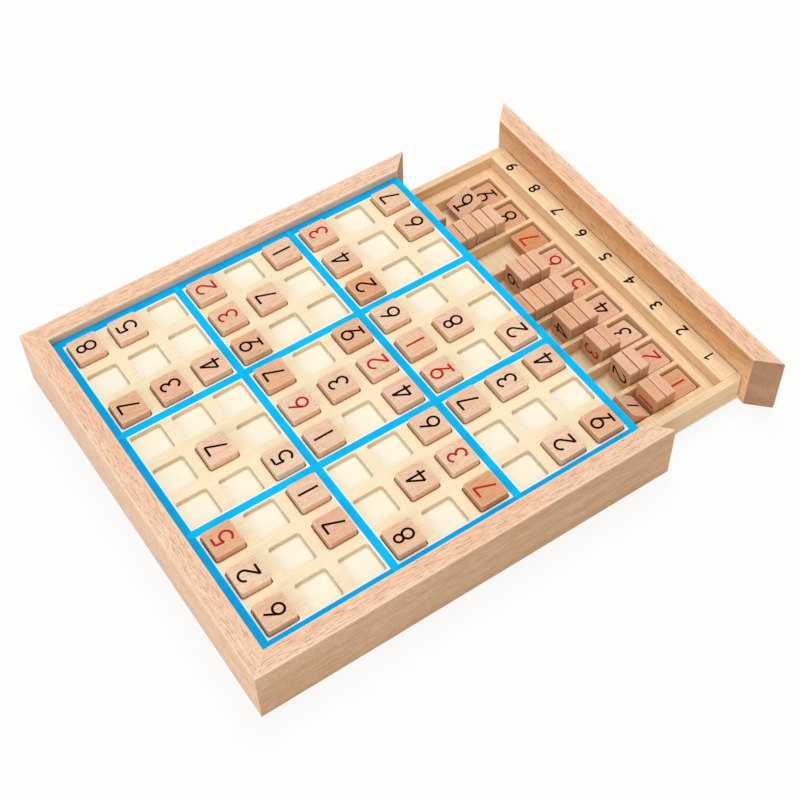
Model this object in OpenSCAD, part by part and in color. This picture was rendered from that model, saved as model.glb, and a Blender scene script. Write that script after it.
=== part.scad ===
// Sudoku board: a square wooden box with a recessed playing board and a drawer for the number tiles.
// Lengths are millimetres. The origin is the centre of the box's underside, +Z is up,
// and the drawer opens towards +X. A player sits at the drawer: row 1 lies at -X, column 1 at -Y.

/* [Number tiles] */
// Side of a square tile
tile_w = 15; // [13:0.5:18]
// Thickness of a tile
tile_t = 6; // [5:0.5:7]
// Radius of a tile's four upright corners
tile_corner_r = 1.2; // [0.8:0.1:2]
// Radius along the edges of a tile's two faces
tile_edge_r = 0.5; // [0.2:0.1:0.7]
// Largest turn of a tile that lies loose in its recess, in degrees
tile_turn = 0.9; // [0:0.1:1.2]

/* [Playing board] */
// Room between a tile and its recess on each side
tile_clear = 0.4; // [0.3:0.05:0.8]
// Thickness of the grid sheet, whose windows make the recesses
recess_d = 2.5; // [1.5:0.1:3.5]
// Radius of a recess's corners
recess_r = 1.4; // [0.6:0.1:2]
// Width of the land between two recesses
cell_land = 6.3; // [5:0.1:9]
// Board between the outer recesses and the rails
board_border = 5.7; // [4:0.1:12]
// Thickness of the base sheet, which closes the recesses below
base_t = 3.5; // [2:0.5:6]
// Depth to which the board's edges are let into the rails
board_set_in = 3; // [2:0.5:5]

/* [Frame rails] */
// Width of a rail
rail_w = 10.5; // [9:0.5:18]
// Height of the rails above the board
rail_rise = 4.8; // [3:0.1:8]

/* [Bottom panel] */
// Thickness of the bottom panel
bottom_t = 2; // [1.5:0.1:4]
// Depth to which the panel's edges are let into the rails
bottom_set_in = 5; // [2:0.5:7]
// Room between the closed drawer front and the edges of board and panel behind it
front_clear = 0.5; // [0.3:0.1:1.5]

/* [Drawer guides] */
// Thickness of a guide batten
guide_t = 2.6; // [1.5:0.1:5]
// Room between the drawer and each guide
drawer_clear = 0.4; // [0.3:0.05:0.8]

/* [Drawer] */
// Distance by which the drawer stands open
drawer_open = 67; // [20:1:90]
// Thickness of the drawer's sides and back
wall_t = 4.2; // [3:0.1:6]
// Radius of the drawer box's two corners behind the front
drawer_corner_r = 3; // [1:0.1:4]
// Thickness of the drawer's floor
drawer_floor_t = 1.7; // [1.2:0.1:3]
// Width of the number strip
strip_w = 10.5; // [8:0.5:16]
// Height of the strip and the sides above the compartment tray
strip_rise = 6.8; // [4:0.1:9]
// Room above a tile that stands on edge, below the board
store_head = 4.5; // [3:0.1:10]

/* [Compartment tray] */
// Depth of a compartment
pocket_d = 7.5; // [5:0.1:9]
// Length of a compartment
pocket_l = 120; // [100:1:140]
// Thickness of a divider between two compartments
divider_t = 2.6; // [1.5:0.1:3.5]
// Tray left along each side of the row of compartments
tray_side = 7; // [4:0.1:9]
// Tray left in front of and behind the compartments
tray_end = 6; // [4:0.1:9]

/* [Stored tiles] */
// Room between the lying tiles and the front of their compartments
lie_gap = 0.9; // [0.3:0.1:1.5]
// Room between tiles that stand or lie next to each other
store_gap = 0.2; // [0.1:0.05:0.5]
// Slope of the tile that leans forward on a lying tile, in degrees
lean_low_a = 29; // [26:1:35]
// Room between that tile and the standing tiles behind it
lean_low_room = 10; // [1:0.5:12]
// Slope of the tile that leans back over a lying tile, in degrees
lean_high_a = 38; // [34:1:44]
// Room between that tile and the standing tiles in front of it
lean_high_room = 1.5; // [0.5:0.1:4]
// Slope of the lying tile that is tipped against a divider, in degrees
tip_a = 8; // [2:1:10]
// Room between that tipped tile and the front of its compartment
tip_gap = 2.8; // [1:0.1:4]

/* [Hidden] */
$fn = 48;
grid_n = 9;
// Angles that spread the turns of the loose tiles over the rows and the columns
turn_row_a = 137;
turn_column_a = 71;
// Overrun of a cut past the face it opens
over = 1;
// Number on each cell of the board, row by row; 0 is an empty recess
numbers = [
    [6, 2, 5, 0, 0, 0, 7, 0, 8],
    [0, 0, 0, 0, 7, 0, 3, 0, 5],
    [0, 7, 1, 5, 0, 0, 4, 0, 0],
    [8, 0, 0, 1, 6, 7, 9, 3, 2],
    [0, 4, 0, 0, 3, 0, 0, 7, 0],
    [7, 3, 6, 4, 2, 9, 0, 0, 1],
    [0, 0, 7, 9, 1, 6, 2, 4, 3],
    [2, 0, 3, 0, 8, 0, 0, 0, 0],
    [9, 0, 4, 2, 0, 0, 0, 6, 7],
];
// Tiles standing on edge in compartments 1 to 9
standing = [2, 2, 2, 3, 5, 3, 0, 5, 3];
// Compartments with a tile that leans or is tipped
lean_high_pocket = 1;
tip_pocket = 3;
lean_low_pocket = 9;

// Sizes in plan
recess_w = tile_w + 2 * tile_clear;
cell_pitch = recess_w + cell_land;
field_w = grid_n * recess_w + (grid_n - 1) * cell_land;
inner_w = field_w + 2 * board_border;
frame_w = inner_w + 2 * rail_w;
panel_front = inner_w / 2 - front_clear;
drawer_w = inner_w - 2 * (guide_t + drawer_clear);
tray_w = drawer_w - 2 * wall_t;
pocket_w = (tray_w - 2 * tray_side - (grid_n - 1) * divider_t) / grid_n;
pocket_pitch = pocket_w + divider_t;

// Places along the open drawer
front_x = inner_w / 2 + drawer_open;
strip_x = front_x - strip_w;
pocket_x = strip_x - tray_end;
tray_x = pocket_x - pocket_l - tray_end;
rear_x = tray_x - wall_t;

// Levels
floor_z = bottom_t + drawer_floor_t;
tray_z = floor_z + pocket_d;
strip_z = tray_z + strip_rise;
board_under_z = floor_z + tile_w + store_head;
recess_z = board_under_z + base_t;
board_z = recess_z + recess_d;
frame_h = board_z + rail_rise;

// Places of the stored tiles
lie_x = pocket_x - lie_gap - tile_w;
stand_step = tile_t + store_gap;
store_side = (pocket_w - tile_w) / 2 - store_gap;
tip_x = pocket_x - tip_gap - tile_w;
// Foot of the tile that leans on the lying tile in front of it
lean_low_x = lie_x - store_gap - tile_t / tan(lean_low_a);
lean_low_back = lean_low_x - tile_t * sin(lean_low_a) - lean_low_room;
// Foot of the tile that leans back, behind the standing tiles of its compartment
lean_high_row = standing[lean_high_pocket - 1] * stand_step;
lean_high_x = lie_x - lean_high_row - lean_high_room - tile_t * sin(lean_high_a);
lean_rest_x = lean_high_x - store_gap - tile_t / tan(lean_high_a) - tile_w;

wood = "burlywood";
pale_wood = "wheat";
board_cream = "cornsilk";
board_ivory = "ivory";
tile_tan = "tan";

cells = [for (row = [1 : grid_n]) for (column = [1 : grid_n]) [row, column]];
filled = [for (cell = cells) if (numbers[cell[0] - 1][cell[1] - 1] > 0) cell];
function tile_node(cell) = str("tile_r", cell[0], "c", cell[1]);
function cell_place(n) = (n - (grid_n + 1) / 2) * cell_pitch;
function pocket_place(n) = (n - (grid_n + 1) / 2) * pocket_pitch;
// Front of the row of standing tiles in a compartment
function row_start(n) = n == lean_low_pocket ? lean_low_back : n == tip_pocket ? tip_x : lie_x;
// Turn of a loose tile: a spread of angles in which near neighbours differ
function loose_turn(cell) = tile_turn * sin(turn_row_a * cell[0] + turn_column_a * cell[1]);

module rounded_rect(x, y, r) {
    square([x - 2 * r, y], center = true);
    square([x, y - 2 * r], center = true);
    for (sx = [-1, 1], sy = [-1, 1])
        translate([sx * (x / 2 - r), sy * (y / 2 - r)]) circle(r);
}

// A box from one corner to the opposite corner
module block(low, high) {
    translate(low) cube(high - low);
}

// A tile that lies on z = 0, centred, with rounded corners and edges
module tile_solid() {
    intersection() {
        linear_extrude(tile_t) rounded_rect(tile_w, tile_w, tile_corner_r);
        along_y() linear_extrude(tile_w, center = true) rounded_rect(tile_w, tile_t, tile_edge_r);
        rotate([0, 0, 90])
            along_y() linear_extrude(tile_w, center = true) rounded_rect(tile_w, tile_t, tile_edge_r);
    }
}

// Turns a profile drawn in XY so that it runs along Y, standing on z = 0
module along_y() {
    translate([0, 0, tile_t / 2]) rotate([90, 0, 0]) children();
}

// The +X side of a square frame, with both ends mitred
module mitred_rail() {
    outer = frame_w / 2;
    inner = inner_w / 2;
    linear_extrude(frame_h)
        polygon([[outer, -outer], [outer, outer], [inner, inner], [inner, -inner]]);
}

// Space that the board or the bottom panel takes, let into three rails
module let_in_panel(set_in, low_z, high_z) {
    reach = inner_w / 2 + set_in;
    block([-reach, -reach, low_z], [panel_front, reach, high_z]);
}

module board_blank(low_z = board_under_z, high_z = board_z) {
    let_in_panel(board_set_in, low_z, high_z);
}

module bottom_blank(low_z = 0) {
    let_in_panel(bottom_set_in, low_z, bottom_t);
}

// A rail turned to its side of the box, grooved for the board and rebated for the bottom panel
module frame_rail(turn) {
    color(wood) difference() {
        rotate([0, 0, turn]) mitred_rail();
        board_blank();
        bottom_blank(-over);
    }
}

module rail_back() {
    frame_rail(180);
}

module rail_near() {
    frame_rail(-90);
}

module rail_far() {
    frame_rail(90);
}

module board_base() {
    color(board_ivory) board_blank(high_z = recess_z);
}

// The sheet glued onto the base, with a window for each recess
module board_grid() {
    color(board_cream) difference() {
        board_blank(low_z = recess_z);
        for (cell = cells)
            translate([cell_place(cell[0]), cell_place(cell[1]), recess_z - over])
                linear_extrude(recess_d + 2 * over) rounded_rect(recess_w, recess_w, recess_r);
    }
}

module bottom_panel() {
    color(pale_wood) bottom_blank();
}

// A guide batten on the -Y or +Y side
module guide(side) {
    edge = inner_w / 2;
    near = side < 0 ? -edge : edge - guide_t;
    block([-edge, near, bottom_t], [panel_front, near + guide_t, board_under_z]);
}

module drawer_guides() {
    color(pale_wood) {
        guide(-1);
        guide(1);
    }
}

module drawer_front() {
    color(wood) translate([drawer_open, 0, 0]) mitred_rail();
}

// Outline of the drawer box, with its two front corners rounded
module drawer_outline() {
    half = drawer_w / 2;
    translate([rear_x, -half]) square([front_x - drawer_corner_r - rear_x, drawer_w]);
    translate([rear_x, drawer_corner_r - half]) square([front_x - rear_x, drawer_w - 2 * drawer_corner_r]);
    for (side = [-1, 1])
        translate([front_x - drawer_corner_r, side * (half - drawer_corner_r)]) circle(drawer_corner_r);
}

module drawer_side(side) {
    low_y = side < 0 ? -drawer_w / 2 : drawer_w / 2 - wall_t;
    color(pale_wood) translate([0, 0, floor_z]) linear_extrude(strip_z - floor_z) intersection() {
        drawer_outline();
        translate([rear_x, low_y]) square([front_x - rear_x, wall_t]);
    }
}

module drawer_side_near() {
    drawer_side(-1);
}

module drawer_side_far() {
    drawer_side(1);
}

module drawer_back() {
    color(pale_wood) block([rear_x, -tray_w / 2, floor_z], [tray_x, tray_w / 2, strip_z]);
}

module drawer_floor() {
    color(pale_wood) translate([0, 0, bottom_t]) linear_extrude(drawer_floor_t) drawer_outline();
}

module number_strip() {
    color(pale_wood) block([strip_x, -tray_w / 2, floor_z], [front_x, tray_w / 2, strip_z]);
}

module compartment_tray() {
    color(pale_wood) difference() {
        block([tray_x, -tray_w / 2, floor_z], [strip_x, tray_w / 2, tray_z]);
        for (n = [1 : grid_n])
            translate([pocket_x - pocket_l, pocket_place(n) - pocket_w / 2, floor_z - over])
                cube([pocket_l, pocket_w, pocket_d + 2 * over]);
    }
}

// A tile that lies on a compartment's floor, its rear edge at x
module lying_tile(n, x) {
    translate([x + tile_w / 2, pocket_place(n), floor_z]) tile_solid();
}

// The tile whose foot stands behind a lying tile and whose upper part rests on it
module leaning_low_tile() {
    translate([lean_low_x, pocket_place(lean_low_pocket), floor_z])
        rotate([0, -lean_low_a, 0]) translate([tile_w / 2, 0, 0]) tile_solid();
}

// The tile whose foot stands on the floor in front and whose upper part leans back over a lying tile
module leaning_high_tile() {
    translate([lean_high_x, pocket_place(lean_high_pocket), floor_z])
        rotate([0, lean_high_a, 0]) translate([-tile_w / 2, 0, 0]) tile_solid();
}

// The lying tile whose near edge is propped against a divider
module tipped_tile() {
    foot_y = pocket_place(tip_pocket) - pocket_w / 2 + store_gap + tile_w * cos(tip_a);
    translate([tip_x + tile_w / 2, foot_y, floor_z])
        rotate([-tip_a, 0, 0]) translate([0, -tile_w / 2, 0]) tile_solid();
}

module stored_tiles_lying() {
    color(tile_tan) {
        for (n = [1 : grid_n])
            if (n != tip_pocket) lying_tile(n, lie_x);
        lying_tile(lean_high_pocket, lean_rest_x);
        tipped_tile();
        leaning_low_tile();
        leaning_high_tile();
    }
}

// A row of tiles on edge behind the lying tile of their compartment
module stored_tiles_standing() {
    color(tile_tan) for (n = [1 : grid_n], k = [0 : 1 : standing[n - 1] - 1]) {
        place_x = row_start(n) - k * stand_step - store_gap;
        translate([place_x, pocket_place(n) - store_side, floor_z + tile_w / 2])
            rotate([0, -90, 0]) tile_solid();
    }
}

// A tile in its recess on the board
module board_tile(cell) {
    color(tile_tan) translate([cell_place(cell[0]), cell_place(cell[1]), recess_z])
        rotate([0, 0, loose_turn(cell)]) tile_solid();
}

rail_back();
rail_near();
rail_far();
board_base();
board_grid();
bottom_panel();
drawer_guides();
drawer_front();
drawer_side_near();
drawer_side_far();
drawer_back();
drawer_floor();
number_strip();
compartment_tray();
stored_tiles_lying();
stored_tiles_standing();
for (cell = filled)
    board_tile(cell);
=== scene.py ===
# %% [markdown]
# # A wooden sudoku box with a tile drawer
# The toy is a shallow beech box. Three mitred rails hold a playing board with 81 square recesses, and the
# fourth rail is the front of a drawer that stores the loose number tiles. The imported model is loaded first:
# each solid in it has its real size and place, so the pieces below take their measures from it.

# %% Load the frame
import math
import random
from contextlib import contextmanager

import bmesh
import bpy
from mathutils import Matrix, Vector


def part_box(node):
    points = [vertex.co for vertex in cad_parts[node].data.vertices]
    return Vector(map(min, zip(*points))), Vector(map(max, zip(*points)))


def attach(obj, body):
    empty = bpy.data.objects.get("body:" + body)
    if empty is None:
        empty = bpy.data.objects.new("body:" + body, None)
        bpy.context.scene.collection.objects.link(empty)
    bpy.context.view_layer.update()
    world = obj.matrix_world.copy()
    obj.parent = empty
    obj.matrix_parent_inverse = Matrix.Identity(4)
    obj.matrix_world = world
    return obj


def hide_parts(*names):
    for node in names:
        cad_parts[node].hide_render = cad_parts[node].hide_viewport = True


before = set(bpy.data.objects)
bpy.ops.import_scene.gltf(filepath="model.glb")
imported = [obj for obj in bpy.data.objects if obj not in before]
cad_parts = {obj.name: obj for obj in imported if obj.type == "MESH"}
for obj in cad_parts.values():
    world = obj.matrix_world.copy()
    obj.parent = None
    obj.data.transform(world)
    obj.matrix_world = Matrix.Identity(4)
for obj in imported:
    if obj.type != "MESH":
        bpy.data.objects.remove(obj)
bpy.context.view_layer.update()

MM = 0.001
random.seed(9)

# %% [markdown]
# ## The camera
# The photograph looks down on the box from its near left side, through a lens a little longer than normal.
# A camera can be aimed by hand until the picture fits. Here its place and its three turns were worked out
# from the painted lines and the corners of the box, so they are written down as numbers, and no lens shift
# is needed.

# %% Camera
CAMERA_PLACE = Vector((-215.23, -393.20, 601.52)) * MM
CAMERA_HEADING = math.radians(-32.4014)
CAMERA_TILT = math.radians(37.4620)
CAMERA_ROLL = math.radians(-1.8834)
CAMERA_LENS = 68.787
CAMERA_CLIP = 10 * MM

bpy.ops.object.select_all(action="DESELECT")
bpy.ops.object.camera_add()
camera = bpy.context.object
camera.name = "photo_camera"
camera.data.lens = CAMERA_LENS
camera.data.clip_start = CAMERA_CLIP
camera.matrix_world = (
    Matrix.Translation(CAMERA_PLACE)
    @ Matrix.Rotation(CAMERA_HEADING, 4, "Z")
    @ Matrix.Rotation(CAMERA_TILT, 4, "X")
    @ Matrix.Rotation(CAMERA_ROLL, 4, "Z")
)
bpy.context.scene.camera = camera
print("camera at, mm:", [round(v / MM) for v in camera.location])

# %% [markdown]
# ## Measures from the frame
# The outer and inner half widths of the square, the levels of the board and the pitch of the cells all
# follow from the boxes of a few solids. Reading them keeps every piece on the solid that it stands for.

# %% Measures
CELLS = 9  # cells in a row, which is also the count of numbers and of compartments
MIDDLE = (CELLS + 1) // 2  # the middle row, column and compartment


def middle_of(node):
    """Centre of a solid's box."""
    low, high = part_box(node)
    return (low + high) / 2


near_low, near_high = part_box("rail_near")
OUTER = -near_low.y
RAIL_W = near_high.y - near_low.y
INNER = OUTER - RAIL_W
RAIL_H = near_high.z
grid_low, grid_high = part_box("board_grid")
RECESS_Z = grid_low.z
BOARD_Z = grid_high.z
PITCH = (middle_of("tile_r9c9").x - middle_of("tile_r1c1").x) / (CELLS - 1)
BOARD_HALF = CELLS * PITCH / 2
tile_low, tile_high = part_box("tile_r1c1")
TILE_T = tile_high.z - tile_low.z
print(f"inner half width {INNER / MM:.1f} mm, pitch {PITCH / MM:.2f} mm, tile {TILE_T / MM:.1f} mm thick")

# %% [markdown]
# ## Hand tools
# Modelling by hand means adding a primitive, choosing some of its faces, edges or corners, and shaping them.
# These helpers do the same in code: they add a block, open it for editing and select parts of it by a rule.

# %% Helpers to add and select
NEAR = 0.01 * MM
STRAIGHT = 0.999


def alone(obj):
    """Selects one object and makes it the active one."""
    bpy.ops.object.select_all(action="DESELECT")
    obj.select_set(True)
    bpy.context.view_layer.objects.active = obj


def freeze(obj):
    """Puts an object's place, turn and scale into its mesh."""
    alone(obj)
    bpy.ops.object.transform_apply()


def block(name, low, high):
    """A box between two corners, as the blank for a piece."""
    low, high = Vector(low), Vector(high)
    bpy.ops.object.select_all(action="DESELECT")
    bpy.ops.mesh.primitive_cube_add(size=1, location=(low + high) / 2)
    obj = bpy.context.object
    obj.name = name
    obj.scale = high - low
    freeze(obj)
    return obj


@contextmanager
def edit_mode(obj):
    """Opens an object for editing, and closes it again."""
    alone(obj)
    bpy.ops.object.mode_set(mode="EDIT")
    yield
    bpy.ops.object.mode_set(mode="OBJECT")


def pick(kind, rule):
    """Selects the verts, edges or faces of the mesh in edit mode for which the rule holds."""
    bpy.ops.mesh.select_mode(type={"verts": "VERT", "edges": "EDGE", "faces": "FACE"}[kind])
    bpy.ops.mesh.select_all(action="DESELECT")
    data = bpy.context.object.data
    mesh = bmesh.from_edit_mesh(data)
    for part in getattr(mesh, kind):
        if rule(part):
            part.select_set(True)
    mesh.select_flush_mode()
    bmesh.update_edit_mesh(data)


def runs_along(axis):
    """Rule for the edges that run along one axis."""
    def rule(edge):
        step = edge.verts[1].co - edge.verts[0].co
        return abs(step[axis]) > STRAIGHT * step.length
    return rule


print("tools to add and select are ready")

# %% [markdown]
# ## Shaping tools
# Edges are rounded in two ways: chosen ones with the bevel operator, and all sharp ones at once with the
# bevel modifier. Each modifier is applied straight away, so a finished piece is plain mesh.

# %% Helpers to shape
SHARP = math.radians(35)
SMOOTH = math.radians(40)


def round_edges(rule, radius, segments):
    """Rounds the edges of the mesh in edit mode for which the rule holds."""
    pick("edges", rule)
    bpy.ops.mesh.bevel(offset=radius, segments=segments, affect="EDGES")


def border(obj, width, least_area):
    """Gives the large flat faces a narrow inset border, so that the paler rubbed and highlighted band and the
    shading stay near the edges.
    """
    with edit_mode(obj):
        pick("faces", lambda face: face.calc_area() > least_area)
        bpy.ops.mesh.inset(thickness=width, use_individual=True)


def apply_modifier(obj, kind, **settings):
    """Adds a modifier with the given settings and applies it."""
    alone(obj)
    modifier = obj.modifiers.new(kind.lower(), kind)
    for name, value in settings.items():
        setattr(modifier, name, value)
    bpy.ops.object.modifier_apply(modifier=modifier.name)


def ease(obj, width):
    """Rounds every sharp edge of a piece by a small bevel."""
    apply_modifier(obj, "BEVEL", width=width, segments=2, limit_method="ANGLE", angle_limit=SHARP)


def repeat(obj, step):
    """Repeats a piece in a row of nine, a step apart."""
    apply_modifier(
        obj, "ARRAY", count=CELLS, use_relative_offset=False, use_constant_offset=True,
        constant_offset_displace=step,
    )


def cut(obj, *cutters):
    """Takes the cutters out of a piece and deletes them."""
    for cutter in cutters:
        apply_modifier(obj, "BOOLEAN", operation="DIFFERENCE", solver="EXACT", object=cutter)
        bpy.data.objects.remove(cutter)


def joined(name, pieces):
    """Several pieces as one object."""
    alone(pieces[0])
    for piece in pieces:
        piece.select_set(True)
    bpy.ops.object.join()
    pieces[0].name = name
    return pieces[0]


def smooth(obj):
    """Shades the rounded edges smooth; weighted normals keep the flat faces flat."""
    alone(obj)
    bpy.ops.object.shade_smooth_by_angle(angle=SMOOTH)
    apply_modifier(obj, "WEIGHTED_NORMAL", keep_sharp=True)


print("shaping tools are ready")

# %% [markdown]
# ## What the wood shader reads
# Wood grain runs along the plank and through it, so a pattern fixed to the world would look wrong on a rail
# that is turned or a tile that stands on edge. Each wooden mesh therefore carries its own place in the plank
# as an attribute, with the first axis along the grain. A second attribute marks the rounded edges, which are
# painted paler, partly from rubbing by hands and partly as a painted highlight, and two more give each tile
# its own tone.

# %% Grain attributes
FLAT_COSINE = 0.985
PLANK_SPREAD = 2


def lay_grain(obj, along, tone=0.0, blush=0.0, worn_and_lit=1.0):
    """Stores the plank coordinates, the rubbed and highlighted edges and the tone in a mesh."""
    axes = {"X": (0, 1, 2), "Y": (1, 0, 2)}[along]
    plank = [random.uniform(0, PLANK_SPREAD) for axis in axes]
    shape = bmesh.new()
    shape.from_mesh(obj.data)
    shape.normal_update()
    grain = []
    edges = []
    for vert in shape.verts:
        grain += [vert.co[axis] + start for axis, start in zip(axes, plank)]
        normals = [face.normal for face in vert.link_faces]
        # rounded edges are marked for a paler band: partly rubbing, partly a painted highlight
        edges.append(worn_and_lit * any(normals[0].dot(normal) < FLAT_COSINE for normal in normals))
    shape.free()
    attributes = obj.data.attributes
    attributes.new("grain", "FLOAT_VECTOR", "POINT").data.foreach_set("vector", grain)
    for name, values in (("edge", edges), ("tone", [tone] * len(edges)), ("blush", [blush] * len(edges))):
        attributes.new(name, "FLOAT", "POINT").data.foreach_set("value", values)


print("grain helper is ready")

# %% [markdown]
# ## Building a shader from nodes
# A node is added, its inputs are set or linked, and its output goes on to the next. A few helpers keep that
# short. Colours are written as they look on screen, from 0 to 255, and changed to the linear values that
# Blender works with.

# %% Helpers for nodes
def srgb(colour):
    """A colour as seen on screen, as linear values by the usual sRGB curve."""
    parts = [value / 255 for value in colour]
    return tuple(p / 12.92 if p <= 0.04045 else ((p + 0.055) / 1.055) ** 2.4 for p in parts) + (1.0,)


def fill(tree, socket, value):
    """Links a socket to an output, or sets its value."""
    if isinstance(value, bpy.types.NodeSocket):
        tree.links.new(value, socket)
    else:
        socket.default_value = value


def add_node(tree, kind, settings=None, **inputs):
    """Adds a shader node, with its settings and its inputs by name."""
    node = tree.nodes.new("ShaderNode" + kind)
    for name, value in (settings or {}).items():
        setattr(node, name, value)
    for name, value in inputs.items():
        fill(tree, node.inputs[name.replace("_", " ")], value)
    return node


def attribute(tree, name, output="Fac"):
    """A value that the mesh carries."""
    return add_node(tree, "Attribute", {"attribute_name": name}).outputs[output]


def object_place(tree):
    """The place of a point on its object."""
    return add_node(tree, "TexCoord").outputs["Object"]


def combine(tree, operation, first, second):
    """Works out one value from two."""
    node = add_node(tree, "Math", {"operation": operation})
    fill(tree, node.inputs[0], first)
    fill(tree, node.inputs[1], second)
    return node.outputs[0]


def span(tree, value, start, end, low=0.0, high=1.0):
    """Maps a value's range from start to end onto low to high, smoothly."""
    node = add_node(
        tree, "MapRange", {"interpolation_type": "SMOOTHSTEP"},
        Value=value, From_Min=start, From_Max=end, To_Min=low, To_Max=high,
    )
    return node.outputs["Result"]


def mix(tree, factor, first, second, blend="MIX"):
    """Mixes two colours by a factor, on the sockets of the Mix node that are for colours."""
    node = add_node(tree, "Mix", {"data_type": "RGBA", "blend_type": blend})
    for socket, value in ((0, factor), (6, first), (7, second)):
        fill(tree, node.inputs[socket], value)
    return node.outputs[2]


def tinted(tree, factor, colour, tint):
    """Multiplies a colour by a tint, as far as the factor says."""
    return mix(tree, factor, colour, mix(tree, 1.0, colour, tint, "MULTIPLY"))


print("node helpers are ready")

# %% [markdown]
# ## What every finish has
# Wood, paint and paper all start from Blender's Principled shader. The coats on the box get four things from
# their nodes: a colour, a roughness, a steady gloss and a fine bump.

# %% Helpers for finishes
def new_material(name):
    """A material with its node tree and its Principled shader."""
    material = bpy.data.materials.new(name)
    material.use_nodes = True
    return material, material.node_tree, material.node_tree.nodes["Principled BSDF"]


def dress(tree, shader, colour, rough, gloss, **bump):
    """Gives a shader its colour, roughness, gloss and bump."""
    fill(tree, shader.inputs["Base Color"], colour)
    fill(tree, shader.inputs["Roughness"], rough)
    shader.inputs["Specular IOR Level"].default_value = gloss
    fill(tree, shader.inputs["Normal"], add_node(tree, "Bump", **bump).outputs["Normal"])


print("finish helpers are ready")

# %% [markdown]
# ## Patterns in beech
# Beech is pinkish tan, with short dark dashes along the grain and small flecks. An image texture would
# repeat, so the wood is grown from noise that is stretched along the plank, and its flecks from the cells
# of a Voronoi pattern, of which nearly half are left out.

# %% Grain patterns
NOISE_ROUGH = 0.55
FLECK_RIM = 0.42
FLECK_CORE = 0.16
CHANCE_EDGE = 0.05


def stretched(tree, place, along, across, shift=0.0):
    """Plank coordinates scaled so that one unit is a given length along and across the grain."""
    scale = (1 / along, 1 / across, 1 / across)
    node = add_node(tree, "Mapping", Vector=place, Scale=scale, Location=(shift, shift, shift))
    return node.outputs["Vector"]


def noise(tree, place, along, across, detail=2.0, shift=0.0):
    """Noise stretched along the grain."""
    spot = stretched(tree, place, along, across, shift)
    node = add_node(tree, "TexNoise", Vector=spot, Scale=1.0, Detail=detail, Roughness=NOISE_ROUGH)
    return node.outputs["Fac"]


def flecks(tree, place, along, across, share):
    """Short lens-shaped marks along the grain, in a share of the cells."""
    spot = stretched(tree, place, along, across)
    cells = add_node(tree, "TexVoronoi", Vector=spot, Scale=1.0, Randomness=1.0)
    mark = span(tree, cells.outputs["Distance"], FLECK_RIM, FLECK_CORE)
    chance = add_node(tree, "SeparateColor", Color=cells.outputs["Color"]).outputs["Red"]
    kept = span(tree, chance, 1 - share - CHANCE_EDGE, 1 - share + CHANCE_EDGE)
    return combine(tree, "MULTIPLY", mark, kept)


print("grain patterns are ready")

# %% [markdown]
# ## One recipe for wood
# Broad bands, narrow streaks and fine fibres shift the colour, flecks darken it, and rounded edges are paler,
# partly from rubbing by hands and partly as a painted highlight. Fibres and flecks also feed a slight bump. A
# wood can instead deepen with height, as painted shade that darkens a face towards its top. Flat sheets take
# the grain from their place, and the other pieces from their own attribute.

# %% Wood recipe
BAND = (150 * MM, 8 * MM)  # length and width, as for the next two
FIBRE = (9 * MM, 0.25 * MM)
FLECK = (2.6 * MM, 0.55 * MM)
FLECK_SHARE = 0.55
STREAK_W = 0.5 * MM
LONG_STREAK = 24 * MM
FULL_DETAIL = 3.0
STREAK_SHIFT = 3.7
FIBRE_SHIFT = 8.1
BAND_FADE = (0.3, 0.7)  # noise levels where a pattern begins and where it is full
STREAK_FADE = (0.5, 0.66)
FIBRE_FADE = (0.4, 0.75)
FIBRE_STRENGTH = 0.5
# rounded edges turn paler: partly rubbing by hands, partly a painted highlight
WEAR_HIGHLIGHT_FADE = (0.35, 0.6)
WEAR_HIGHLIGHT_STRENGTH = (0.25, 0.6)
WORN_HIGHLIGHT_GAIN = 1.12
ROUGH_FADE = (0.3, 0.75)
WOOD_ROUGH = (0.44, 0.64)
WOOD_GLOSS = 0.18
GRAIN_RELIEF = 0.05 * MM
BROWN_TINT = srgb((231, 188, 147))
ROSE_TINT = srgb((254, 242, 247))
LOW_FIBRE, HIGH_FIBRE, FLECK_PIT = [(level, level, level, 1) for level in (0.5, 0.75, 0.2)]
ALONG = {"X": 0, "Y": -math.pi / 2}


def plank_place(tree, turned):
    """Coordinates with the first axis along the grain."""
    if turned is None:
        return attribute(tree, "grain", "Vector")
    turn = (0, 0, ALONG[turned])
    return add_node(tree, "Mapping", Vector=object_place(tree), Rotation=turn).outputs["Vector"]


# used for painted shade that darkens a face towards its top
def heart_depth(tree, levels):
    """How far a point has risen from a lower to an upper level."""
    height = add_node(tree, "SeparateXYZ", Vector=object_place(tree)).outputs["Z"]
    return span(tree, height, *levels)


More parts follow.
